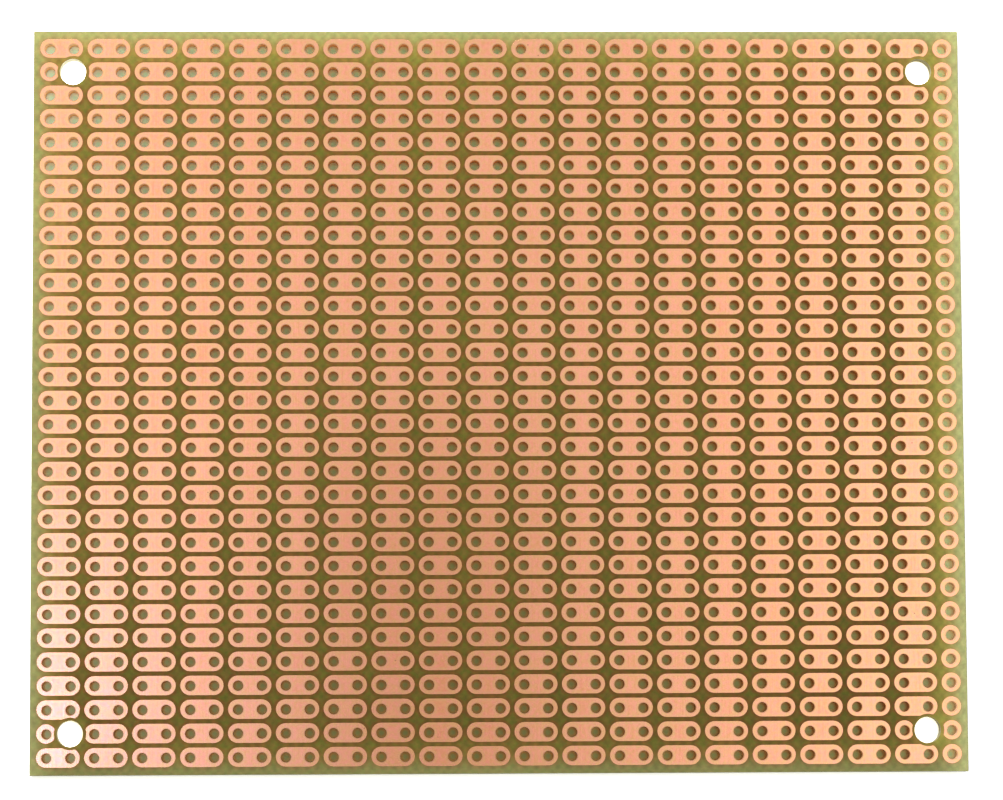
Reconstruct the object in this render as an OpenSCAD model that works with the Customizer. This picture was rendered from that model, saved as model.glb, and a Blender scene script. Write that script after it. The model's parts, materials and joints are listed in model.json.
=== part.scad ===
// Prototype board: a bare sheet of glass-fibre laminate with etched copper islands on one face.
// Islands of two holes stand side by side in rows on a square grid. Where the number of columns
// is odd, the last column has islands of one hole. Four screw holes, one in from each corner of
// the grid, take the place of lead holes, and the copper keeps clear of them.
// Millimetres. The origin is the centre of the underside, and the copper faces +Z.

/* [Board] */
// Length of the board, along X
board_l = 100; // [30:0.1:200]
// Width of the board, along Y
board_w = 80; // [30:0.1:140]
// Thickness of the laminate
board_t = 1.6; // [0.4:0.1:3.2]

/* [Grid] */
// Distance between neighbouring holes
pitch = 2.54; // [2.5:0.01:5.08]
// Least bare margin between the islands and the board's edge
edge_bare = 0.5; // [0.2:0.1:5]

/* [Holes] */
// Diameter of a lead hole
lead_hole_d = 1.1; // [0.6:0.05:1.4]
// Diameter of a screw hole
screw_hole_d = 2.8; // [2:0.1:3.7]
// Whole steps of the grid between its corner hole and the screw hole, both ways
screw_inset = 1; // [1:1:3]
// How far the lead holes lie from the copper pattern, along X
lead_shift_x = 0.03; // [-0.15:0.01:0.15]
// How far the lead holes lie from the copper pattern, along Y
lead_shift_y = -0.05; // [-0.15:0.01:0.15]
// How far the screw holes lie from the copper pattern, along X
screw_shift_x = -0.05; // [-0.15:0.01:0.15]
// How far the screw holes lie from the copper pattern, along Y
screw_shift_y = 0; // [-0.15:0.01:0.15]

/* [Copper] */
// Thickness of the copper foil
copper_t = 0.035; // [0.017:0.001:0.21]
// Bare gap between neighbouring islands
island_gap = 0.44; // [0.2:0.01:0.7]
// Width of the bare ring etched round a screw hole
screw_ring = 0.3; // [0:0.01:0.3]

/* [Hidden] */
island_w = pitch - island_gap;

// How many holes fit on a side of length l, with their islands edge_bare from both ends
function holes_on(l) = floor((l - island_w - 2 * edge_bare) / pitch) + 1;
columns = holes_on(board_l);
rows = holes_on(board_w);
lead_hole_fn = 24;
round_fn = 64;

function row_name(r) = str("pad_row_", r < 9 ? "0" : "", r + 1);

// Columns count from 0 at the left, and rows from 0 at the top
function grid_x(c) = (c - (columns - 1) / 2) * pitch;
function grid_y(r) = ((rows - 1) / 2 - r) * pitch;

screw_columns = [screw_inset, columns - 1 - screw_inset];
screw_rows = [screw_inset, rows - 1 - screw_inset];
function is_screw(c, r) = len(search(c, screw_columns)) > 0 && len(search(r, screw_rows)) > 0;

// Puts its child where each lead hole of row r is drilled
module at_lead_holes(r) {
    for (c = [0:columns - 1])
        if (!is_screw(c, r))
            translate([grid_x(c) + lead_shift_x, grid_y(r) + lead_shift_y])
                children();
}

// Puts its child at each place of the grid that a screw hole takes
module at_screw_places() {
    for (c = screw_columns, r = screw_rows)
        translate([grid_x(c), grid_y(r)])
            children();
}

module lead_hole() {
    circle(d = lead_hole_d, $fn = lead_hole_fn);
}

module screw_hole() {
    translate([screw_shift_x, screw_shift_y])
        circle(d = screw_hole_d, $fn = round_fn);
}

// A strip with round ends, from one hole of the grid to another in the same row
module island(first, last, r) {
    translate([grid_x(first), grid_y(r)])
        circle(d = island_w, $fn = round_fn);
    if (last > first) {
        translate([grid_x(first), grid_y(r) - island_w / 2])
            square([grid_x(last) - grid_x(first), island_w]);
        translate([grid_x(last), grid_y(r)])
            circle(d = island_w, $fn = round_fn);
    }
}

// The islands of row r, two holes each. One that meets a screw hole keeps only its other hole.
module islands_of_row(r) {
    for (c = [0:2:columns - 1]) {
        end = min(c + 1, columns - 1);
        first = is_screw(c, r) ? c + 1 : c;
        last = is_screw(end, r) ? end - 1 : end;
        if (last >= first)
            island(first, last, r);
    }
}

// The bare laminate with every hole drilled through it
module laminate() {
    color("darkolivegreen")
        linear_extrude(board_t)
            difference() {
                square([board_l, board_w], center = true);
                for (r = [0:rows - 1])
                    at_lead_holes(r) lead_hole();
                at_screw_places() screw_hole();
            }
}

// The copper islands of row r, lying on the laminate
module pad_row(r) {
    color("sandybrown")
        translate([0, 0, board_t])
            linear_extrude(copper_t)
                difference() {
                    islands_of_row(r);
                    at_lead_holes(r) lead_hole();
                    at_screw_places() {
                        circle(d = screw_hole_d + 2 * screw_ring, $fn = round_fn);
                        screw_hole();
                    }
                }
}

laminate();
for (r = [0:rows - 1])
    pad_row(r);
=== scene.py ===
"""Looks of a bare prototype board: copper islands etched on a drilled glass-fibre laminate.

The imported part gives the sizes: the hole grid and the drill come from its mounts, and the sheet, the
foil and the island width come from its solids' boxes. The laminate and each row of islands are made
again here as finer surfaces with their finishes.

Lengths inside the classes are millimetres. They become metres where a mesh or a lamp is made.
"""

from __future__ import annotations

import json
import logging
import math
from dataclasses import dataclass, field
from enum import Enum, IntEnum

import bpy
import numpy as np
from mathutils import Matrix, Vector

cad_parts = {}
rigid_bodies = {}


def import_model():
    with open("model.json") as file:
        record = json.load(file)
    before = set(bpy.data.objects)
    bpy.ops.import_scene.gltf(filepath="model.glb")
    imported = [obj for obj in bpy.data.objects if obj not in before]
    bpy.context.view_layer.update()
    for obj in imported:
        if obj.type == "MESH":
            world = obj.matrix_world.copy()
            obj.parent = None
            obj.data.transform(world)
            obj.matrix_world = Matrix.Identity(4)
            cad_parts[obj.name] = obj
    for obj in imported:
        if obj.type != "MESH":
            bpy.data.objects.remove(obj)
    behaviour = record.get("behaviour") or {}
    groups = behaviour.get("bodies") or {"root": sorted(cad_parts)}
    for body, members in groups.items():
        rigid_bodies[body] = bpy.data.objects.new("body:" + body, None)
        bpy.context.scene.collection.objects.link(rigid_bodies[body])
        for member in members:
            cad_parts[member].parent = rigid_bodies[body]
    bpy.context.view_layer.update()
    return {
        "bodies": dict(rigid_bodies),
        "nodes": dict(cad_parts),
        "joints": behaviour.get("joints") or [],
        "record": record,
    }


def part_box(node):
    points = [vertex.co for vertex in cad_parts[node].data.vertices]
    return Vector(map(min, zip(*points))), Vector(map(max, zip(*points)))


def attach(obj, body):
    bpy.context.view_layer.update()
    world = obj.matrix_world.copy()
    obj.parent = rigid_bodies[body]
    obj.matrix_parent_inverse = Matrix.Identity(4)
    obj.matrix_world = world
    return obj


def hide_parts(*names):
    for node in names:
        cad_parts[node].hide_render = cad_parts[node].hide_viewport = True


MM = 0.001
BODY = "root"
LOG = logging.getLogger("board")

Colour = tuple[float, float, float]
Socket = bpy.types.NodeSocket
Value = Socket | float | tuple[float, ...]


# ---------------------------------------------------------------------------------------------
# Sizes
# ---------------------------------------------------------------------------------------------


@dataclass(frozen=True)
class BoardSizes:
    """The board's sizes in millimetres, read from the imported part.

    Columns count from 0 at the left, and rows from 0 at the top, the +Y side. The bare ring etched
    round a screw hole is in neither the mounts nor the boxes, so its width is set here.
    """

    length: float
    width: float
    thickness: float
    foil: float
    island_width: float
    pitch: float
    columns: int
    rows: int
    lead_radius: float
    lead_shift: tuple[float, float]
    screw_radius: float
    screw_spacing: tuple[float, float]
    screw_shift: tuple[float, float]
    screw_ring: float = 0.3

    @classmethod
    def from_frame(cls, frame: dict) -> BoardSizes:
        """Read the sizes.


        Returns:
            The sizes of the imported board.
        """
        mounts = {m["name"]: m for m in frame["record"]["mounts"]}
        leads, screws = mounts["lead_holes"], mounts["screw_holes"]
        low, high = (np.array(corner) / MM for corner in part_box("laminate"))
        row_low, row_high = (np.array(corner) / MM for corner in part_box("pad_row_04"))
        pitch = leads["dims"]["spacing_x_mm"]
        island_width = row_high[1] - row_low[1]
        reach = row_high[0] - row_low[0] - island_width
        return cls(
            length=high[0] - low[0],
            width=high[1] - low[1],
            thickness=high[2] - low[2],
            foil=row_high[2] - row_low[2],
            island_width=island_width,
            pitch=pitch,
            columns=round(reach / pitch) + 1,
            rows=sum(name.startswith("pad_row_") for name in frame["nodes"]),
            lead_radius=leads["dims"]["hole_r_mm"],
            lead_shift=(leads["pos_m"][0] / MM, leads["pos_m"][1] / MM),
            screw_radius=screws["dims"]["hole_r_mm"],
            screw_spacing=(screws["dims"]["spacing_x_mm"], screws["dims"]["spacing_y_mm"]),
            screw_shift=(screws["pos_m"][0] / MM, screws["pos_m"][1] / MM),
        )

    @property
    def bare_radius(self) -> float:
        """Give the outer radius of the bare ring round a screw hole."""
        return self.screw_radius + self.screw_ring

    def column_x(self, column: np.ndarray | float) -> np.ndarray | float:
        """Give the X of a column of the copper pattern."""
        return (column - (self.columns - 1) / 2) * self.pitch

    def row_y(self, row: np.ndarray | float) -> np.ndarray | float:
        """Give the Y of a row of the copper pattern."""
        return ((self.rows - 1) / 2 - row) * self.pitch

    def screw_places(self) -> np.ndarray:
        """Give the four places of the copper pattern that screw holes take, one a line."""
        signs = np.array([(-1, -1), (1, -1), (1, 1), (-1, 1)])
        return signs * np.array(self.screw_spacing) / 2

    def is_screw(self, column: int, row: int) -> bool:
        """Say whether a screw hole takes this place of the grid.

        Args:
            column: The place's column.
            row: Its row.

        Returns:
            True where the place is less than half a pitch from a screw hole's place.
        """
        x = abs(abs(self.column_x(column)) - self.screw_spacing[0] / 2)
        y = abs(abs(self.row_y(row)) - self.screw_spacing[1] / 2)
        return max(x, y) < self.pitch / 2


# ---------------------------------------------------------------------------------------------
# Node trees
# ---------------------------------------------------------------------------------------------


class Graph:
    """The node tree of one material or world, with short ways to add to it."""

    def __init__(self, owner: bpy.types.Material | bpy.types.World) -> None:
        """Start an empty tree.

        Args:
            owner: The material or world that the tree belongs to.
        """
        owner.use_nodes = True
        self.tree = owner.node_tree
        self.tree.nodes.clear()

    def feed(self, socket: Socket, value: Value) -> None:
        """Link a socket to the value, or set it there.

        Args:
            socket: The input to fill.
            value: Another node's output, a number, or a colour or vector.
        """
        if isinstance(value, Socket):
            self.tree.links.new(value, socket)
        elif socket.type == "RGBA":
            socket.default_value = (*value[:3], 1.0)
        else:
            socket.default_value = value

    def add(self, kind: str, inputs: dict, **settings: object) -> bpy.types.Node:
        """Add a node.

        Args:
            kind: The node's type name, without "ShaderNode".
            inputs: What each input, by name or number, is fed.
            settings: Properties of the node itself.

        Returns:
            The new node.
        """
        node = self.tree.nodes.new("ShaderNode" + kind)
        for name, setting in settings.items():
            setattr(node, name, setting)
        for key, value in inputs.items():
            self.feed(node.inputs[key], value)
        return node

    def math(self, operation: str, *values: Value) -> Socket:
        """Give the result of a sum, product or other operation on numbers."""
        return self.add("Math", dict(enumerate(values)), operation=operation).outputs[0]

    def weighted(self, *terms: tuple[Value, float], base: float = 0.0) -> Value:
        """Add up values by their weights.

        Args:
            terms: Each value with its weight.
            base: What the sum starts from.

        Returns:
            The base plus each value times its weight.
        """
        result = base
        for value, weight in terms:
            result = self.math("MULTIPLY_ADD", value, weight, result)
        return result

    def length(self, a: Value, b: Value) -> Socket:
        """Give the root of the sum of two squares."""
        return self.math("SQRT", self.math("MULTIPLY_ADD", a, a, self.math("MULTIPLY", b, b)))

    def clamp(self, value: Value, low: float, high: float) -> Socket:
        """Give the value, or the nearer bound where it lies outside the two."""
        return self.math("MINIMUM", self.math("MAXIMUM", value, low), high)

    def mix(self, share: Value, first: Value, second: Value, way: str = "MIX") -> Socket:
        """Blend two colours, where share is how much of the second one shows."""
        inputs = {0: share, 6: first, 7: second}
        return self.add("Mix", inputs, data_type="RGBA", blend_type=way).outputs[2]

    def plus(self, colour: Value, more: Value) -> Socket:
        """Add a second colour to the first."""
        return self.mix(1.0, colour, more, "ADD")

    def scaled(self, colour: Value, factor: Value) -> Socket:
        """Multiply a colour by a number."""
        return self.add("VectorMath", {0: colour, "Scale": factor}, operation="SCALE").outputs[0]

    def ease(self, value: Value, low: float, high: float, start: float = 0.0,
             end: float = 1.0) -> Socket:
        """Go smoothly from start to end while the value goes from low to high."""
        inputs = {"Value": value, "From Min": low, "From Max": high, "To Min": start, "To Max": end}
        return self.add("MapRange", inputs, interpolation_type="SMOOTHSTEP").outputs[0]

    def place(self) -> Socket:
        """Give the surface point in millimetres, in the board's own frame."""
        return self.scaled(self.add("TexCoord", {}).outputs["Object"], 1 / MM)

    def axes(self, place: Value) -> tuple[Socket, ...]:
        """Split a point into its X, Y and Z."""
        return tuple(self.add("SeparateXYZ", {0: place}).outputs)

    def noise(self, place: Value, per_mm: tuple[float, float, float], detail: float = 2.0,
              seed: float = 0.0) -> Socket:
        """Give a soft random pattern around 0.5.

        Args:
            place: The point in millimetres.
            per_mm: Blotches per millimetre along each axis.
            detail: How many finer layers lie on it.
            seed: Moves the pattern, so that two patterns differ.

        Returns:
            The pattern's socket.
        """
        inputs = {0: place, 1: per_mm, 2: (seed, 2 * seed, 3 * seed)}
        point = self.add("VectorMath", inputs, operation="MULTIPLY_ADD").outputs[0]
        return self.add("TexNoise", {"Vector": point, "Scale": 1.0, "Detail": detail}).outputs[0]

    def mottled(self, colour: Value, place: Value, per_mm: tuple[float, float, float],
                tints: tuple[Colour, Colour], blend: tuple[float, float] = (0.36, 0.64)) -> Socket:
        """Multiply a colour by one tint where a random pattern is below blend, the other above it."""
        share = self.ease(self.noise(place, per_mm, detail=3.0, seed=11.0), *blend)
        return self.mix(1.0, colour, self.mix(share, *tints), "MULTIPLY")

    def bump(self, height: Value, depth_mm: float) -> Socket:
        """Give the normal of a surface whose height from 0 to 1 is depth_mm deep."""
        inputs = {"Height": height, "Distance": depth_mm * MM, "Strength": 1.0}
        return self.add("Bump", inputs).outputs[0]

    def seen(self) -> Socket:
        """Tell the rays that show the surroundings from those that only light.

        Returns:
            1 on camera, glossy and transmission rays, and 0 on the others.
        """
        ray = self.add("LightPath", {})
        kinds = (ray.outputs[f"Is {kind} Ray"] for kind in ("Camera", "Glossy", "Transmission"))
        return self.math("MINIMUM", self.weighted(*((kind, 1.0) for kind in kinds)), 1.0)

    def surface(self, **inputs: Value) -> None:
        """Put the general surface shader at the end of the tree.

        Args:
            inputs: Its inputs, with _ for a space in the name.
        """
        named = {key.replace("_", " "): value for key, value in inputs.items()}
        shader = self.add("BsdfPrincipled", named)
        self.add("OutputMaterial", {"Surface": shader.outputs[0]})


@dataclass(frozen=True)
class IslandPattern:
    """How far a point of the board lies from the copper's outline and from the holes."""

    sizes: BoardSizes

    def distances(self, g: Graph, place: Socket) -> tuple[Socket, Socket]:
        """Measure from the nearest island.

        The point is first brought to its island: X less the middle of the pair, which is the pair's
        number rounded, and Y less the row's middle. An island is a strip, so its distance is that of
        the point to the line between its holes, less half the island's width. Where the number of
        columns is odd, the last pair has only its left hole.

        Args:
            g: The tree to add the nodes to.
            place: The point in millimetres.

        Returns:
            The distance outside the island's outline, negative on copper, and the distance outside
            the nearest lead hole's wall.
        """
        s = self.sizes
        x, y, _ = g.axes(place)
        first = s.column_x(0.5)
        last_pair = (s.columns - 1) // 2
        last_row = (s.rows - 1) / 2
        missing = -s.pitch / 2 * (s.columns % 2)
        number = g.math("ROUND", g.math("DIVIDE", g.math("SUBTRACT", x, first), 2 * s.pitch))
        number = g.clamp(number, 0.0, float(last_pair))
        is_last = g.math("GREATER_THAN", number, last_pair - 0.5)
        middle = g.weighted((number, 2 * s.pitch), (is_last, missing), base=first)
        half = g.weighted((is_last, missing), base=s.pitch / 2)
        row = g.clamp(g.math("ROUND", g.math("DIVIDE", y, s.pitch)), -last_row, last_row)
        across = g.math("SUBTRACT", x, middle)
        up = g.math("MULTIPLY_ADD", row, -s.pitch, y)
        beyond = g.math("SUBTRACT", g.math("ABSOLUTE", across), half)
        outline = g.length(g.math("MAXIMUM", beyond, 0.0), up)
        aside = g.math("ABSOLUTE", g.math("SUBTRACT", across, s.lead_shift[0]))
        hole = g.length(g.math("SUBTRACT", aside, half), g.math("SUBTRACT", up, s.lead_shift[1]))
        return (g.math("SUBTRACT", outline, s.island_width / 2),
                g.math("SUBTRACT", hole, s.lead_radius))

    def from_screw(self, g: Graph, place: Socket) -> Socket:
        """Measure from the nearest screw hole's place on the grid.

        Args:
            g: The tree to add the nodes to.
            place: The point in millimetres.

        Returns:
            The distance along the board.
        """
        x, y, _ = g.axes(place)
        across = g.math("SUBTRACT", g.math("ABSOLUTE", x), self.sizes.screw_spacing[0] / 2)
        up = g.math("SUBTRACT", g.math("ABSOLUTE", y), self.sizes.screw_spacing[1] / 2)
        return g.length(across, up)


# ---------------------------------------------------------------------------------------------
# Painted light that comes through the sheet
# ---------------------------------------------------------------------------------------------


@dataclass(frozen=True)
class Fade:
    """Painted light falling away from a line: its amount there, and the length in which it falls to
    1/e.
    """

    amount: float
    length: float

    def at(self, g: Graph, depth: Value) -> Socket:
        """Work out amount * exp(-(|depth| / length) ** 1.5).

        Args:
            g: The tree to add the nodes to.
            depth: The distance from the line, of either sign.

        Returns:
            What is left of the light there.
        """
        share = g.math("DIVIDE", g.math("ABSOLUTE", depth), self.length)
        fall = g.math("EXPONENT", g.math("MULTIPLY", g.math("POWER", share, 1.5), -1.0))
        return g.math("MULTIPLY", fall, self.amount)


DARK = Fade(0.0, 1.0)


@dataclass(frozen=True)
class EdgeGlow:
    """Painted light that comes in at the board's four sides and at the screw holes, and fades inwards.

    The slope is how much stronger it grows for each millimetre along X and along Y. Where there is a
    deep hue, the hue turns to it between the two depths of deepening.
    """

    sizes: BoardSizes
    hue: Colour
    right: Fade
    left: Fade
    back: Fade = DARK
    front: Fade = DARK
    screws: Fade = DARK
    slope: tuple[float, float] = (0.0, 0.0)
    deep_hue: Colour | None = None
    deepening: tuple[float, float] = (0.3, 2.8)

    def strength(self, g: Graph, place: Socket) -> Socket:
        """Add up the light of the four sides and of the nearest screw hole.

        Each one's depth is the distance from the side, or from the hole's wall. The light of the
        right and left sides and that of the back and front ones are added as the root of the sum of
        their squares.

        Args:
            g: The tree to add the nodes to.
            place: The point in millimetres.

        Returns:
            The strength's socket.
        """
        s = self.sizes
        x, y, _ = g.axes(place)
        sides = ((self.right, x, s.length / 2), (self.left, x, -s.length / 2),
                 (self.back, y, s.width / 2), (self.front, y, -s.width / 2))
        right, left, back, front = (fade.at(g, g.math("SUBTRACT", across, line))
                                    for fade, across, line in sides)
        rim = g.length(g.math("ADD", right, left), g.math("ADD", back, front))
        depth = g.math("SUBTRACT", IslandPattern(s).from_screw(g, place), s.screw_radius)
        slant = g.weighted((x, self.slope[0]), (y, self.slope[1]), base=1.0)
        return g.math("MULTIPLY", g.math("ADD", rim, self.screws.at(g, depth)), slant)

    def colour(self, g: Graph, place: Socket) -> Socket:
        """Give the light's colour times its strength.

        Args:
            g: The tree to add the nodes to.
            place: The point in millimetres.

        Returns:
            The painted light to add to the surface's own colour.
        """
        hue = self.hue
        if self.deep_hue:
            x, y, _ = g.axes(place)
            along = g.math("SUBTRACT", self.sizes.length / 2, g.math("ABSOLUTE", x))
            across = g.math("SUBTRACT", self.sizes.width / 2, g.math("ABSOLUTE", y))
            depth = g.math("MINIMUM", along, across)
            hue = g.mix(g.ease(depth, *self.deepening), self.hue, self.deep_hue)
        return g.scaled(hue, self.strength(g, place))


@dataclass(frozen=True)
class CornerGlow:
    """Painted light that is strongest at the back left corner, and fades along X and along Y.

    Each length is the one in which it falls to 1/e. One that is much longer than the board makes it
    a light along a whole side.
    """

    sizes: BoardSizes
    hue: Colour
    amount: float
    along_x: float = 25.0
    along_y: float = 33.0

    def colour(self, g: Graph, place: Socket) -> Socket:
        """Give the hue times the amount, faded by the distances along X and along Y.

        Args:
            g: The tree to add the nodes to.
            place: The point in millimetres.

        Returns:
            The colour to add to the surface's own.
        """
        x, y, _ = g.axes(place)
        across = Fade(self.amount, self.along_x).at(g, g.math("ADD", x, self.sizes.length / 2))
        down = Fade(1.0, self.along_y).at(g, g.math("SUBTRACT", y, self.sizes.width / 2))
        return g.scaled(self.hue, g.math("MULTIPLY", across, down))


# ---------------------------------------------------------------------------------------------
# Finishes
# ---------------------------------------------------------------------------------------------


@dataclass(frozen=True)
class BareCopper:
    """Copper foil, scrubbed along Y before etching and lightly tarnished since.

    The rim's tint is full up to the first distance of rim_band from an island's outline or a hole,
    and gone at the second one. The metal turns to tarnish while the wear goes from the first value
    of worn to the second. The hole's mouth is darkened over mouth_width, a painted shade at the
    hole's edge. A fleck's colour is full up to the first distance of fleck_size from its middle, and
    gone at the second one.
    """

    sizes: BoardSizes
    metal: Colour = (0.86, 0.392, 0.228)
    tarnish: Colour = (0.77, 0.315, 0.160)
    worn: tuple[float, float] = (0.50, 1.02)
    rim: Colour = (0.765, 0.395, 0.205)
    rim_band: tuple[float, float] = (0.16, 0.38)
    rim_share: float = 0.9
    mouth_shade: float = 0.72
    mouth_width: float = 0.12
    fleck: Colour = (0.30, 0.13, 0.07)
    fleck_size: tuple[float, float] = (0.035, 0.075)
    flecks_per_mm: float = 0.9
    fleck_rarity: float = 0.93
    mottles: tuple[Colour, Colour] = ((0.97, 1.03, 0.90), (1.03, 0.97, 1.10))
    roughness: float = 0.16
    relief: float = 0.002

    def material(self) -> bpy.types.Material:
        """Make the material.

        Returns:
            The copper islands' finish.
        """
        material = bpy.data.materials.new("bare_copper")
        g = Graph(material)
        place = g.place()
        outline, hole = IslandPattern(self.sizes).distances(g, place)
        near, far = self.rim_band
        edge = g.math("MAXIMUM", g.ease(outline, -far, -near), g.ease(hole, far, near))
        scrub = g.noise(place, (6.0, 0.22, 1.0), detail=4.0)
        blotch = g.noise(place, (0.16, 0.12, 1.0), detail=3.0, seed=3.0)
        grain = g.noise(place, (3.2, 2.6, 1.0), detail=3.0, seed=7.0)
        wear = g.weighted((scrub, 0.45), (blotch, 0.5), (grain, 0.45))
        colour = g.mix(g.ease(wear, *self.worn), self.metal, self.tarnish)
        colour = g.mix(g.math("MULTIPLY", edge, self.rim_share), colour, self.rim)
        # Painted shade at the hole's mouth.
        colour = g.scaled(colour, g.ease(hole, 0.0, self.mouth_width, self.mouth_shade, 1.0))
        colour = g.mottled(colour, place, (2.6, 2.2, 1.0), self.mottles)
        colour = g.mix(self.flecks(g, place), colour, self.fleck)
        rough = g.weighted((scrub, 0.05), (blotch, 0.03), base=self.roughness)
        height = g.weighted((scrub, 0.8), (grain, 0.4))
        g.surface(Base_Color=colour, Metallic=1.0, Roughness=rough, Normal=g.bump(height, self.relief),
                  Coat_Weight=0.4, Coat_Roughness=0.14, Coat_IOR=1.5)
        return material

    def flecks(self, g: Graph, place: Socket) -> Socket:
        """Mark a few dark specks: the middles of those cells whose random shade is high.

        Args:
            g: The tree to add the nodes to.
            place: The point in millimetres.

        Returns:
            How much of the fleck's colour shows.
        """
        cells = g.add("TexVoronoi", {"Vector": place, "Scale": self.flecks_per_mm}, feature="F1")
        shade = g.axes(cells.outputs["Color"])[0]
        near = g.ease(cells.outputs["Distance"], *self.fleck_size, 1.0, 0.0)
        return g.math("MULTIPLY", near, g.math("GREATER_THAN", shade, self.fleck_rarity))


@dataclass(frozen=True)
class Laminate:
    """Etched face of glass-fibre laminate: olive resin over a plain weave, with painted shade by the
    copper.

    The sheet lets some light through, and that light is painted into the colour, lighter near its sides
    and its back left corner. The painted shade is browner and darker than the resin. It is full up to
    the first distance of shade_band from the copper, and gone at the second one. A colour under the
    copper, where there is one, starts at the first distance of copper_band and is full from the second
    one inwards. The thread is half a wave of the weave along X and along Y.
    """

    sizes: BoardSizes
    name: str = "laminate_face"
    resin: Colour = (0.136, 0.111, 0.0138)
    shaded: Colour = (0.156, 0.076, 0.0103)
    shade_band: tuple[float, float] = (0.12, 0.42)
    under_copper: Colour | None = None
    copper_band: tuple[float, float] = (0.15, -0.35)
    mottles: tuple[Colour, Colour] = ((0.86, 1.03, 0.80), (1.14, 0.97, 1.20))
    thread: tuple[float, float] = (0.58, 0.81)
    roughness: float = 0.40
    relief: float = 0.004

    def material(self) -> bpy.types.Material:
        """Make the material.

        Returns:
            The finish of the sheet's face.
        """
        material = bpy.data.materials.new(self.name)
        g = Graph(material)
        place = g.place()
        outline, _ = IslandPattern(self.sizes).distances(g, place)
        grain = g.noise(place, (3.5, 3.5, 1.0), detail=3.0)
        cloud = g.noise(place, (0.12, 0.12, 1.0), seed=5.0)
        weave = self.weave(g, place)
        # Painted shade near the copper, where the copper keeps light out of the sheet.
        colour = g.mix(g.ease(outline, *self.shade_band), self.shaded, self.resin)
        if self.under_copper:
            colour = g.mix(g.ease(outline, *self.copper_band), colour, self.under_copper)
        colour = g.mottled(colour, place, (2.4, 2.4, 1.0), self.mottles)
        # Painted light that comes through the sheet, added to its colour.
        for glow in self.glows():
            colour = g.plus(colour, glow.colour(g, place))
        colour = g.scaled(colour, g.weighted((grain, 0.5), (cloud, 0.4), (weave, 0.12), base=0.55))
        rough = g.weighted((grain, 0.2), base=self.roughness)
        normal = g.bump(g.weighted((weave, 0.7), (grain, 0.5)), self.relief)
        g.surface(Base_Color=colour, Roughness=rough, Specular_IOR_Level=0.2, Normal=normal)
        return material

    def glows(self) -> tuple[EdgeGlow | CornerGlow, ...]:
        """Give the painted lights that are added to the resin's colour.

        Returns:
            The one from the sides and the screw holes, and the one from the corner.
        """
        sides = EdgeGlow(self.sizes, hue=(0.92, 0.98, 0.45), deep_hue=(1.0, 0.92, 0.20),
                         right=Fade(0.365, 3.0), left=Fade(0.26, 2.2), back=Fade(0.31, 2.8),
                         front=Fade(0.123, 2.5), screws=Fade(0.06, 0.6), slope=(0.003, -0.005))
        corner = CornerGlow(self.sizes, hue=(1.0, 0.76, 0.25), amount=0.036, along_x=30.0, along_y=70.0)
        return sides, corner

    def weave(self, g: Graph, place: Socket) -> Socket:
        """Give the plain weave: the product of two waves, one along each thread.

        Args:
            g: The tree to add the nodes to.
            place: The point in millimetres.

        Returns:
            The weave's height, from -1 to 1.
        """
        x, y, _ = g.axes(place)
        warp = g.math("SINE", g.math("MULTIPLY", x, math.pi / self.thread[0]))
        weft = g.math("SINE", g.math("MULTIPLY", y, math.pi / self.thread[1]))
        return g.math("MULTIPLY", warp, weft)


@dataclass(frozen=True)
class DrilledWall:
    """Raw wall of a drilled hole: brown resin dust and cut fibre, in thin layers.

    Its two tones are partly the dust's own brown and partly painted light that glows in the sheet,
    so they are brighter than dust alone. More painted light, from the four sides and from the back
    left corner, is added to the colour. A screw hole's wall is paler, and only the corner's painted
    light reaches it. Between the two shares of layer_blend, the tone turns to the light one.
    """

    sizes: BoardSizes
    tone: Colour = (0.76, 0.39, 0.145)
    light: Colour = (0.84, 0.52, 0.22)
    screw_tone: Colour = (0.68, 0.62, 0.40)
    layer: float = 0.2
    layer_blend: tuple[float, float] = (0.40, 0.62)
    relief: float = 0.01

    def material(self) -> bpy.types.Material:
        """Make the material.

        Returns:
            The holes' finish.
        """
        material = bpy.data.materials.new("drilled_wall")
        g = Graph(material)
        place = g.place()
        layers = g.noise(place, (0.8, 0.8, 1 / self.layer))
        # Tones brighter than dust alone: partly painted light from within the sheet.
        colour = g.mix(g.ease(layers, *self.layer_blend), self.tone, self.light)
        # Painted light through the sheet, added to the wall's colour.
        sides = EdgeGlow(self.sizes, hue=(0.68, 0.85, 0.80), right=Fade(0.70, 3.0),
                         left=Fade(0.18, 12.0), back=Fade(0.20, 3.0), front=Fade(0.20, 3.0))
        corner = CornerGlow(self.sizes, hue=(0.5, 0.9, 0.9), amount=0.20)
        for glow in (sides, corner):
            colour = g.plus(colour, glow.colour(g, place))
        # Painted light on the screw holes' walls, strongest at the back left corner.
        screw_corner = CornerGlow(self.sizes, hue=(0.95, 1.0, 1.1), amount=0.48)
        screw = g.plus(self.screw_tone, screw_corner.colour(g, place))
        from_screw = IslandPattern(self.sizes).from_screw(g, place)
        colour = g.mix(g.math("LESS_THAN", from_screw, self.sizes.bare_radius), colour, screw)
        g.surface(Base_Color=colour, Roughness=0.85, Specular_IOR_Level=0.1,
                  Normal=g.bump(layers, self.relief))
        return material


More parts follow.
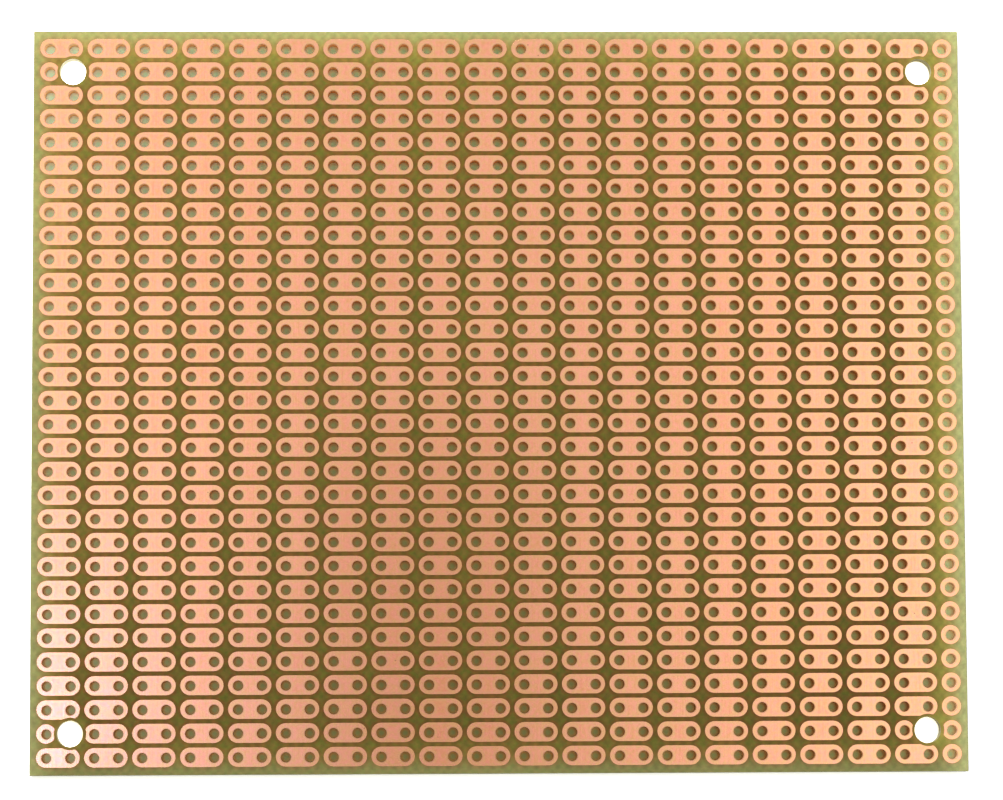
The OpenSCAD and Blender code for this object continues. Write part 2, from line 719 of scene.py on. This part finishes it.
@dataclass(frozen=True)
class CutEdge:
    """Sawn side of the laminate: pale fibre layers with fine upright saw marks.

    The wander is how far the layers' lines drift up and down, in radians of their wave.
    """

    fibre: Colour = (0.52, 0.52, 0.31)
    resin: Colour = (0.30, 0.29, 0.12)
    layer: float = 0.2
    wander: float = 3.0
    relief: float = 0.02

    def material(self) -> bpy.types.Material:
        """Make the material.

        Returns:
            The sheet's finish along its four sides.
        """
        material = bpy.data.materials.new("cut_edge")
        g = Graph(material)
        place = g.place()
        z = g.axes(place)[2]
        drift = g.noise(place, (0.9, 0.9, 1.0))
        wave = g.math("SINE", g.weighted((z, 2 * math.pi / self.layer), (drift, self.wander)))
        layers = g.weighted((wave, 0.5), base=0.5)
        saw = g.noise(place, (14.0, 14.0, 0.6), detail=3.0, seed=4.0)
        share = g.weighted((layers, 0.6), (saw, 0.7), base=-0.15)
        colour = g.mix(share, self.resin, self.fibre)
        height = g.weighted((layers, 0.4), (saw, 1.0))
        g.surface(Base_Color=colour, Roughness=0.75, Normal=g.bump(height, self.relief))
        return material


# ---------------------------------------------------------------------------------------------
# Meshes
# ---------------------------------------------------------------------------------------------


@dataclass
class Skin:
    """A mesh in the making: points in millimetres, and groups of faces with the slot of each group.

    Points that are the same to weld_digits decimals become one. An edge is sharp where its faces
    turn by more than sharp_turn degrees.
    """

    points: list[np.ndarray] = field(default_factory=list)
    faces: list[np.ndarray] = field(default_factory=list)
    slots: list[int] = field(default_factory=list)
    count: int = 0
    weld_digits: int = 5
    sharp_turn: float = 30.0

    def place(self, points: np.ndarray) -> np.ndarray:
        """Add points.

        Args:
            points: An array whose last axis is X, Y, Z.

        Returns:
            The points' numbers, in the array's shape.
        """
        flat = points.reshape(-1, 3)
        numbers = np.arange(self.count, self.count + len(flat)).reshape(points.shape[:-1])
        self.points.append(flat)
        self.count += len(flat)
        return numbers

    def cover(self, corners: np.ndarray, slot: int = 0) -> None:
        """Add faces, given by their corners' point numbers, anticlockwise along the last axis."""
        self.faces.append(corners.reshape(-1, corners.shape[-1]))
        self.slots.append(slot)

    def strip(self, inner: np.ndarray, outer: np.ndarray, slot: int = 0, closed: bool = True) -> None:
        """Cover the band between two rings of point numbers.

        A face joins two neighbours of the inner ring to the same two of the outer one. It faces up
        where both rings run anticlockwise and the outer one lies further out.

        Args:
            inner: The inner rings' numbers, along the last axis.
            outer: The outer rings' numbers, in the same shape.
            slot: Which of the piece's finishes they have.
            closed: Whether the last point joins the first.
        """
        if closed:
            inner_next, outer_next = np.roll(inner, -1, axis=-1), np.roll(outer, -1, axis=-1)
        else:
            inner, inner_next = inner[..., :-1], inner[..., 1:]
            outer, outer_next = outer[..., :-1], outer[..., 1:]
        self.cover(np.stack([inner, outer, outer_next, inner_next], axis=-1), slot)

    def piece(self, name: str, finishes: list[bpy.types.Material]) -> bpy.types.Object:
        """Make the object, with points at the same place welded into one.

        Args:
            name: The piece's name.
            finishes: The material of each slot.

        Returns:
            The object, linked to the scene.
        """
        points = np.concatenate(self.points)
        rounded = np.round(points, self.weld_digits)
        _, first, weld = np.unique(rounded, axis=0, return_index=True, return_inverse=True)
        faces = [weld.reshape(-1)[f] for f in self.faces]
        slots = np.concatenate([np.full(len(f), s) for f, s in zip(faces, self.slots)])
        sizes = np.concatenate([np.full(len(f), f.shape[1]) for f in faces])
        mesh = bpy.data.meshes.new(name)
        mesh.vertices.add(len(first))
        mesh.vertices.foreach_set("co", (points[first] * MM).ravel())
        mesh.loops.add(int(sizes.sum()))
        mesh.loops.foreach_set("vertex_index", np.concatenate([f.ravel() for f in faces]))
        mesh.polygons.add(len(sizes))
        mesh.polygons.foreach_set("loop_start", np.cumsum(sizes) - sizes)
        mesh.polygons.foreach_set("material_index", slots)
        mesh.update(calc_edges=True)
        mesh.shade_smooth()
        mesh.set_sharp_from_angle(angle=math.radians(self.sharp_turn))
        for finish in finishes:
            mesh.materials.append(finish)
        obj = bpy.data.objects.new(name, mesh)
        bpy.context.scene.collection.objects.link(obj)
        return obj


def lifted(flat: np.ndarray, z: float) -> np.ndarray:
    """Give flat points the height z."""
    return np.concatenate([flat, np.full((*flat.shape[:-1], 1), z)], axis=-1)


def circle(centre: np.ndarray, radius: float, angles: np.ndarray) -> np.ndarray:
    """Give points on circles: the centre plus the radius times the cosine and sine of each angle."""
    ring = radius * np.stack([np.cos(angles), np.sin(angles)], axis=-1)
    return np.asarray(centre)[..., None, :] + ring


def spread(points: np.ndarray, centre: np.ndarray, radius: float) -> np.ndarray:
    """Push the points that lie inside a circle straight out to its line.

    A point keeps its direction from the centre, and its distance becomes the radius.

    Args:
        points: Flat points.
        centre: The circle's centre.
        radius: Its radius.

    Returns:
        The points, moved where they were inside.
    """
    away = points - centre
    distance = np.linalg.norm(away, axis=-1, keepdims=True)
    pushed = centre + away / np.maximum(distance, 1e-9) * radius
    return np.where(distance < radius, pushed, points)


class SheetFace(IntEnum):
    """The sheet's finishes, in the order of its material slots."""

    COPPER_SIDE = 0
    UNDERSIDE = 1
    HOLE_WALL = 2
    SAWN_SIDE = 3


@dataclass
class Sheet:
    """The laminate: a flat sheet with its lead holes and screw holes.

    The drilling grid divides the faces into square cells, one round each hole. A cell's face is the
    band from its square border to its hole. Where a screw hole is wider than its cell, the border
    bulges out to the circle through the cell's corners.

    A cell has as many steps on each side as steps says, and a screw hole's wall has screw_steps
    points to each of those steps. The top and the bottom are the borders' point numbers.
    """

    sizes: BoardSizes
    steps: int = 6
    screw_steps: int = 4
    chamfer: float = 0.06
    under_copper: Colour = (0.20, 0.115, 0.03)
    skin: Skin = field(default_factory=Skin, init=False)
    top: np.ndarray = field(init=False)
    bottom: np.ndarray = field(init=False)

    def build(self) -> bpy.types.Object:
        """Make the sheet.

        Returns:
            One closed piece with its four finishes.
        """
        s = self.sizes
        self.top = self.skin.place(lifted(self.borders(), s.thickness))
        self.bottom = self.skin.place(lifted(self.borders(), 0.0))
        rings = self.cell_rings()
        count = 4 * self.steps
        angles = 2 * math.pi * np.arange(count) / count - math.pi / 4
        columns, rows = np.meshgrid(np.arange(s.columns), np.arange(s.rows), indexing="ij")
        places = np.stack([s.column_x(columns), s.row_y(rows)], axis=-1)
        screws = np.vectorize(s.is_screw)(columns, rows)
        self.lead_holes(places[~screws] + np.array(s.lead_shift), rings[~screws], angles)
        self.screw_holes(places[screws] + np.array(s.screw_shift), rings[screws], angles)
        self.sides()
        finishes = {
            SheetFace.COPPER_SIDE: Laminate(s),
            SheetFace.UNDERSIDE: Laminate(s, name="laminate_underside", under_copper=self.under_copper),
            SheetFace.HOLE_WALL: DrilledWall(s),
            SheetFace.SAWN_SIDE: CutEdge(),
        }
        return self.skin.piece("glass_fibre_sheet", [finishes[face].material() for face in SheetFace])

    def borders(self) -> np.ndarray:
        """Give the points of the cells' borders.

        They lie on a square lattice of so many steps to a cell, and those inside the circle through
        a screw cell's corners are pushed out to it.

        Returns:
            Flat points, counted along X and then down the rows.
        """
        s = self.sizes
        across = s.column_x(np.arange(s.columns * self.steps + 1) / self.steps - 0.5) + s.lead_shift[0]
        down = s.row_y(np.arange(s.rows * self.steps + 1) / self.steps - 0.5) + s.lead_shift[1]
        lattice = np.stack(np.meshgrid(across, down, indexing="ij"), axis=-1)
        for centre in s.screw_places() + np.array(s.lead_shift):
            lattice = spread(lattice, centre, s.pitch / math.sqrt(2))
        return lattice

    def cell_rings(self) -> np.ndarray:
        """Give each cell's border as lattice places, anticlockwise from its lower right corner.

        Returns:
            An array of column, row, place round the border, and the lattice's two indices.
        """
        s, n = self.sizes, self.steps
        run, zero = np.arange(n), np.zeros(n, int)
        i = np.concatenate([zero + n, n - run, zero, run])
        j = np.concatenate([n - run, zero, run, zero + n])
        columns, rows = np.meshgrid(np.arange(s.columns) * n, np.arange(s.rows) * n, indexing="ij")
        return np.stack([columns[..., None] + i, rows[..., None] + j], axis=-1)

    def lead_holes(self, centres: np.ndarray, rings: np.ndarray, angles: np.ndarray) -> None:
        """Cover the cells that hold a lead hole, with as many points round the hole as the border.

        Args:
            centres: The holes' centres.
            rings: Their cells' borders, as lattice places.
            angles: Where round the hole each border point has its partner.
        """
        s, skin = self.sizes, self.skin
        mouths = circle(centres, s.lead_radius, angles)
        upper, lower = (skin.place(lifted(mouths, z)) for z in (s.thickness, 0.0))
        i, j = rings[..., 0], rings[..., 1]
        skin.strip(upper, self.top[i, j], SheetFace.COPPER_SIDE)
        skin.strip(self.bottom[i, j], lower, SheetFace.UNDERSIDE)
        skin.strip(lower, upper, SheetFace.HOLE_WALL)

    def screw_holes(self, centres: np.ndarray, rings: np.ndarray, angles: np.ndarray) -> None:
        """Cover the cells that hold a screw hole, whose wall has several points to each border point.

        Args:
            centres: The holes' centres.
            rings: Their cells' borders, as lattice places.
            angles: Where round the hole each border point has its partner.
        """
        s, skin = self.sizes, self.skin
        count = len(angles) * self.screw_steps
        mouths = circle(centres, s.screw_radius, angles[0] + 2 * math.pi * np.arange(count) / count)
        upper, lower = (skin.place(lifted(mouths, z)) for z in (s.thickness, 0.0))
        i, j = rings[..., 0], rings[..., 1]
        for faces in self.fans(upper, self.top[i, j]):
            skin.cover(faces, SheetFace.COPPER_SIDE)
        for faces in self.fans(lower, self.bottom[i, j]):
            skin.cover(faces[..., ::-1], SheetFace.UNDERSIDE)
        skin.strip(lower, upper, SheetFace.HOLE_WALL)

    def fans(self, hole: np.ndarray, border: np.ndarray) -> tuple[np.ndarray, np.ndarray]:
        """Join screw holes to their cells' borders with triangles that face up.

        Each border point has a fan of narrow triangles to its own run of the hole's points. One more
        triangle joins it and the next border point to the hole point where their fans meet.

        Args:
            hole: The point numbers round each hole, with screw_steps of them to a border point.
            border: The point numbers round each border.

        Returns:
            The fans' triangles and the ones between them.
        """
        fine, count, ring = self.screw_steps, hole.shape[-1], border.shape[-1]
        spokes = np.repeat(np.arange(ring), fine)
        ahead = np.arange(count) - fine // 2
        fans = np.stack([border[:, spokes], hole[:, (ahead + 1) % count], hole[:, ahead % count]], -1)
        between = hole[:, (fine * np.arange(ring) + fine // 2) % count]
        return fans, np.stack([border, np.roll(border, -1, axis=-1), between], -1)

    def sides(self) -> None:
        """Cover the rim from the outer cells to the board's edge, and the four sides.

        The lattice's outline is stretched to the board's outline, first at the top, then down the
        side with a small chamfer above and below, and back at the bottom.
        """
        s, skin = self.sizes, self.skin
        last_i, last_j = self.top.shape[0] - 1, self.top.shape[1] - 1
        run_i, run_j = np.arange(last_i), np.arange(last_j)
        i = np.concatenate([np.full(last_j, last_i), last_i - run_i, np.zeros(last_j, int), run_i])
        j = np.concatenate([last_j - run_j, np.zeros(last_i, int), run_j, np.full(last_i, last_j)])
        share = np.stack([i / last_i - 0.5, 0.5 - j / last_j], axis=-1)
        size = np.array([s.length, s.width])
        loops = ((self.chamfer, s.thickness), (0.0, s.thickness - self.chamfer),
                 (0.0, self.chamfer), (self.chamfer, 0.0))
        rings = [skin.place(lifted(share * (size - 2 * inset), z)) for inset, z in loops]
        skin.strip(self.top[i, j], rings[0], SheetFace.COPPER_SIDE)
        for upper, lower in zip(rings, rings[1:]):
            skin.strip(upper, lower, SheetFace.SAWN_SIDE)
        skin.strip(rings[-1], self.bottom[i, j], SheetFace.UNDERSIDE)


class Side(Enum):
    """Which part of an island lies round a hole."""

    LEFT = "left half"
    RIGHT = "right half"
    ALONE = "whole island"


@dataclass(frozen=True)
class Profile:
    """The edge of the etched foil: insets from the outline and heights as shares of the foil."""

    insets: tuple[float, ...] = (0.0, 0.012, 0.032)
    heights: tuple[float, ...] = (0.0, 0.6, 1.0)


@dataclass
class IslandRow:
    """One row of copper islands. Each hole has its own part of an island round it.

    Parts that may meet a bare ring have clipped_factor times as many steps.
    """

    sizes: BoardSizes
    row: int
    finish: bpy.types.Material
    profile: Profile = Profile()
    seam_steps: int = 6
    edge_steps: int = 3
    arc_steps: int = 12
    clipped_factor: int = 4
    skin: Skin = field(default_factory=Skin, init=False)

    def build(self) -> bpy.types.Object:
        """Make the row's islands.

        Returns:
            One piece of separate closed shells.
        """
        groups: dict[tuple[Side, bool], list[np.ndarray]] = {}
        for column in range(self.sizes.columns):
            if self.sizes.is_screw(column, self.row):
                continue
            centre = np.array([self.sizes.column_x(column), self.sizes.row_y(self.row)])
            groups.setdefault((self.side(column), self.is_clipped(centre)), []).append(centre)
        for (side, clipped), centres in groups.items():
            self.parts(side, clipped, np.array(centres))
        return self.skin.piece(f"copper_row_{self.row + 1:02d}", [self.finish])

    def side(self, column: int) -> Side:
        """Say which part of an island the column's hole has.

        Args:
            column: The hole's column.

        Returns:
            The half, or the whole where the island has no second hole.
        """
        other = column + 1 if column % 2 == 0 else column - 1
        if other >= self.sizes.columns or self.sizes.is_screw(other, self.row):
            return Side.ALONE
        return Side.LEFT if column % 2 == 0 else Side.RIGHT

    def is_clipped(self, centre: np.ndarray) -> bool:
        """Say whether the part round a hole, or the other half of its island, may meet a bare ring.

        Args:
            centre: The hole's place on the copper pattern.

        Returns:
            True where a screw hole's place is near enough.
        """
        s = self.sizes
        reach = s.bare_radius + s.island_width / 2 + s.pitch
        return bool((np.linalg.norm(s.screw_places() - centre, axis=1) < reach).any())

    def outline(self, side: Side, inset: float, factor: int) -> tuple[np.ndarray, int]:
        """Give the outline round a hole, anticlockwise, with the hole at the origin.

        A left half is the seam at half a pitch, a straight run, a half circle and a straight run
        back. A right half is its mirror image. A whole island is a circle. Each stretch's points are
        evenly spaced in angle, as seen from the hole.

        Args:
            side: Which part it is.
            inset: How far inside the true outline.
            factor: Multiplies the steps round the arc and the straight runs.

        Returns:
            The flat points, and how many steps of the seam come first.
        """
        r = self.sizes.island_width / 2 - inset
        seam_x = self.sizes.pitch / 2
        if side is Side.ALONE:
            turn = np.arange(2 * self.arc_steps * factor) / (self.arc_steps * factor)
            return circle(np.zeros(2), r, math.pi * turn), 0
        corner = math.atan2(r, seam_x)
        rise = corner * (2 * np.arange(self.seam_steps) / self.seam_steps - 1)
        seam = np.stack([np.full(len(rise), seam_x), seam_x * np.tan(rise)], -1)
        share = np.arange(self.edge_steps * factor) / (self.edge_steps * factor)
        run = r * np.tan((math.pi / 2 - corner) * (1 - share))
        top = np.stack([run, np.full(len(run), r)], -1)
        turn = 0.5 + np.arange(self.arc_steps * factor) / (self.arc_steps * factor)
        arc = circle(np.zeros(2), r, math.pi * turn)
        back = np.append(run, 0.0)[:0:-1]
        base = np.stack([back, np.full(len(back), -r)], -1)
        left = np.concatenate([seam, top, arc, base])
        if side is Side.LEFT:
            return left, self.seam_steps
        mirrored = (left * np.array([-1, 1]))[::-1]
        return np.roll(mirrored, self.seam_steps + 1, axis=0), self.seam_steps

    def parts(self, side: Side, clipped: bool, centres: np.ndarray) -> None:
        """Cover the parts of one kind: underside, etched edge, top and hole wall.

        Args:
            side: Which part of an island they are.
            clipped: Whether they lie near a screw hole, and so need finer steps.
            centres: The copper pattern's points that they surround.
        """
        s, skin = self.sizes, self.skin
        factor = self.clipped_factor if clipped else 1
        rings = []
        for inset, height in zip(self.profile.insets, self.profile.heights):
            flat, seam = self.outline(side, inset, factor)
            flat = centres[:, None, :] + flat
            if clipped:
                for screw in s.screw_places():
                    flat = spread(flat, screw, s.bare_radius + inset)
            rings.append(skin.place(lifted(flat, s.thickness + height * s.foil)))
        shape, _ = self.outline(side, 0.0, factor)
        angles = np.arctan2(shape[:, 1], shape[:, 0])
        mouths = circle(centres + np.array(s.lead_shift), s.lead_radius, angles)
        lower, upper = (skin.place(lifted(mouths, z)) for z in (s.thickness, s.thickness + s.foil))
        skin.strip(rings[0], lower)
        skin.strip(upper, rings[-1])
        skin.strip(lower, upper)
        for low, high in zip(rings, rings[1:]):
            if seam:
                low, high = np.roll(low, -seam, axis=-1), np.roll(high, -seam, axis=-1)
                low, high = low[:, : low.shape[1] - seam + 1], high[:, : high.shape[1] - seam + 1]
                skin.strip(high, low, closed=False)
            else:
                skin.strip(high, low)


# ---------------------------------------------------------------------------------------------
# Studio
# ---------------------------------------------------------------------------------------------


@dataclass(frozen=True)
class Viewpoint:
    """Where the camera is over the copper face's middle, and how it looks, in the board's frame."""

    above: tuple[float, float, float] = (-11.16, -35.91, 406.52)
    look: tuple[float, float, float] = (0.02802, 0.08777, -0.99575)
    up: tuple[float, float, float] = (0.00231, 0.99613, 0.08787)
    lens: float = 136.54
    sensor: float = 36.0
    nearest: float = 10.0

    def make(self, sizes: BoardSizes) -> None:
        """Make the camera.

        Args:
            sizes: The board's sizes.
        """
        data = bpy.data.cameras.new("camera")
        data.lens = self.lens
        data.sensor_width = self.sensor
        data.clip_start = self.nearest * MM
        camera = bpy.data.objects.new("camera", data)
        back = -Vector(self.look).normalized()
        right = Vector(self.up).cross(back).normalized()
        turn = Matrix((right, back.cross(right), back)).transposed().to_4x4()
        lens_at = Vector(self.above) + Vector((0, 0, sizes.thickness + sizes.foil))
        camera.matrix_world = Matrix.Translation(lens_at * MM) @ turn
        bpy.context.scene.collection.objects.link(camera)
        bpy.context.scene.camera = camera


class Shows(Enum):
    """Which light a lamp gives."""

    ALL = "both kinds"
    MATT = "light on matt surfaces only"
    MIRRORED = "highlights only"


@dataclass(frozen=True)
class Softbox:
    """A square lamp that the camera doesn't see, facing down.

    Its power in watts is four times its area in square metres times its brightness.
    """

    name: str
    place: tuple[float, float, float]
    size: float
    brightness: float
    shows: Shows = Shows.ALL
    tone: Colour = (1.0, 1.0, 1.0)

    def make(self) -> None:
        """Make the lamp."""
        data = bpy.data.lights.new(self.name, "AREA")
        data.size = self.size * MM
        data.energy = 4 * (self.size * MM) ** 2 * self.brightness
        data.color = self.tone
        lamp = bpy.data.objects.new(self.name, data)
        lamp.location = Vector(self.place) * MM
        lamp.visible_camera = False
        lamp.visible_glossy = self.shows is not Shows.MATT
        lamp.visible_diffuse = self.shows is not Shows.MIRRORED
        bpy.context.scene.collection.objects.link(lamp)


@dataclass(frozen=True)
class Plate:
    """A flat rectangle that isn't part of the board, facing up."""

    name: str
    left: float
    right: float
    front: float
    back: float
    height: float

    def make(self, material: bpy.types.Material) -> bpy.types.Object:
        """Make the plate.

        Args:
            material: Its finish.

        Returns:
            The object, linked to the scene.
        """
        corners = np.array([(self.left, self.front), (self.right, self.front),
                            (self.right, self.back), (self.left, self.back)])
        skin = Skin()
        skin.cover(skin.place(lifted(corners, self.height))[None, :])
        plate = skin.piece(self.name, [material])
        return plate


@dataclass(frozen=True)
class Floor:
    """A plain pale floor just under the board, which shows white.

    Under the sheet its colour is painted light and shade: the tints of the light that comes down a
    lead hole and through the laminate, greenish under the hole's middle and browner close to its
    wall, where the brown is full up to the first distance of wall_band and gone at the second one,
    with more painted light from the sheet's sides and corners added. Under a screw hole it is painted
    brighter than the open floor, so that it shows white in the hole's shade.
    """

    sizes: BoardSizes
    size: float = 6000.0
    drop: float = 0.02
    tone: Colour = (0.8, 0.8, 0.8)
    white: Colour = (3.0, 3.0, 3.0)
    screw_white: Colour = (5.0, 5.0, 5.0)
    shine: Colour = (0.080, 0.071, 0.029)
    filtered: Colour = (0.42, 0.68, 0.29)
    wall_side: Colour = (0.80, 0.60, 0.22)
    wall_band: tuple[float, float] = (-0.05, -0.45)

    def make(self) -> None:
        """Lay the floor."""
        half = self.size / 2
        Plate("floor", -half, half, -half, half, -self.drop).make(self.material())

    def material(self) -> bpy.types.Material:
        """Make the floor's finish.

        Returns:
            The tone on rays that only light, and what the floor looks like on the others. Under the
            sheet it shines too.
        """
        material = bpy.data.materials.new("pale_floor")
        g = Graph(material)
        place = g.place()
        inside, under = self.inside(g, place), self.under_sheet(g, place)
        _, hole = IslandPattern(self.sizes).distances(g, place)
        # Painted light and shade in the lead holes: green through the laminate, browner by the wall.
        below = g.mix(g.ease(hole, *self.wall_band), self.wall_side, self.filtered)
        # Painted light from the sheet's sides and corners.
        for glow in self.glows():
            below = g.plus(below, glow.colour(g, place))
        # Painted light under the screw holes, so that they show white.
        below = g.mix(under, self.screw_white, below)
        colour = g.mix(g.seen(), self.tone, g.mix(inside, self.white, below))
        cover = g.add("BsdfDiffuse", {"Color": colour})
        shine = g.add("BsdfAnisotropic", {"Color": g.scaled(self.shine, under), "Roughness": 0.2})
        both = g.add("AddShader", {0: cover.outputs[0], 1: shine.outputs[0]})
        g.add("OutputMaterial", {"Surface": both.outputs[0]})
        return material

    def glows(self) -> tuple[EdgeGlow | CornerGlow, ...]:
        """Give the painted lights that are added to the floor's colour under the sheet.

        Returns:
            The ones from the sides, from the back left corner and from along the back.
        """
        sides = EdgeGlow(self.sizes, hue=(0.48, 0.90, 0.90),
                         right=Fade(0.95, 4.2), left=Fade(0.20, 4.0))
        corner = CornerGlow(self.sizes, hue=(0.58, 0.98, 2.15), amount=0.60, along_x=32.0)
        back = CornerGlow(self.sizes, hue=(0.15, 1.0, 0.75), amount=0.45, along_x=300.0)
        return sides, corner, back

    def inside(self, g: Graph, place: Socket) -> Socket:
        """Mark the floor within the board's outline.

        Args:
            g: The tree to add the nodes to.
            place: The point in millimetres.

        Returns:
            1 there, and 0 beside it.
        """
        x, y, _ = g.axes(place)
        return g.math("MULTIPLY", g.math("LESS_THAN", g.math("ABSOLUTE", x), self.sizes.length / 2),
                      g.math("LESS_THAN", g.math("ABSOLUTE", y), self.sizes.width / 2))

    def under_sheet(self, g: Graph, place: Socket) -> Socket:
        """Mark the floor that the sheet covers.

        Args:
            g: The tree to add the nodes to.
            place: The point in millimetres.

        Returns:
            1 there, and 0 beside the board and under the four screw holes.
        """
        from_screw = IslandPattern(self.sizes).from_screw(g, place)
        covered = g.math("GREATER_THAN", from_screw, self.sizes.bare_radius)
        return g.math("MULTIPLY", self.inside(g, place), covered)


@dataclass(frozen=True)
class GreyCard:
    """A long grey card over the front of the board, which the copper mirrors as a darker band.

    The camera doesn't see it, and it casts no shadow.
    """

    outline: Plate = Plate("grey_card", left=-32.0, right=20.0, front=-518.0, back=33.0, height=420.0)
    light: Colour = (0.05, 0.05, 0.05)
    mirrored: Colour = (0.54, 0.435, 0.36)

    def make(self) -> None:
        """Hang the card."""
        material = bpy.data.materials.new("grey_card")
        g = Graph(material)
        glow = g.add("Emission", {"Color": g.mix(g.seen(), self.light, self.mirrored)})
        g.add("OutputMaterial", {"Surface": glow.outputs[0]})
        card = self.outline.make(material)
        card.visible_camera = False
        card.visible_shadow = False


@dataclass(frozen=True)
class Studio:
    """The sky, the floor, the card and the lamps. The sky lights evenly, and shows white."""

    sizes: BoardSizes
    sky_light: float = 0.36
    sky_seen: float = 1.0
    lamps: tuple[Softbox, ...] = (
        Softbox("lamp_left", (-212, 132, 720), 282, 0.46),
        Softbox("lamp_right", (457, 86, 720), 684, 0.61),
        Softbox("lamp_back", (-60, 200, 150), 100, 25.0, Shows.MATT),
        Softbox("lamp_sheen", (-151, -34, 720), 32, 28.0, Shows.MIRRORED, (0.5, 0.65, 1.35)),
    )

    def build(self) -> None:
        """Make them all."""
        self.sky()
        Floor(self.sizes).make()
        GreyCard().make()
        for lamp in self.lamps:
            lamp.make()

    def sky(self) -> None:
        """Make the world's even light."""
        world = bpy.data.worlds.new("sky")
        bpy.context.scene.world = world
        g = Graph(world)
        strength = g.weighted((g.seen(), self.sky_seen - self.sky_light), base=self.sky_light)
        light = g.add("Background", {"Color": (1.0, 1.0, 1.0), "Strength": strength})
        g.add("OutputWorld", {"Surface": light.outputs[0]})


def main() -> None:
    """Build the board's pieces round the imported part, and the studio."""
    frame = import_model()
    sizes = BoardSizes.from_frame(frame)
    LOG.info("board %.1f x %.1f x %.2f mm, %d x %d holes", sizes.length, sizes.width, sizes.thickness,
             sizes.columns, sizes.rows)
    Viewpoint().make(sizes)
    Studio(sizes).build()
    sheet = Sheet(sizes).build()
    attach(sheet, BODY)
    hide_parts("laminate")
    LOG.info("%s: %d faces", sheet.name, len(sheet.data.polygons))
    copper = BareCopper(sizes).material()
    for row in range(sizes.rows):
        islands = IslandRow(sizes, row, copper).build()
        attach(islands, BODY)
        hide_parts(f"pad_row_{row + 1:02d}")
        LOG.info("%s: %d faces", islands.name, len(islands.data.polygons))
    bpy.context.scene.view_settings.view_transform = "Standard"


if __name__ == "__main__":
    logging.basicConfig(level=logging.INFO, format="%(message)s")
    main()
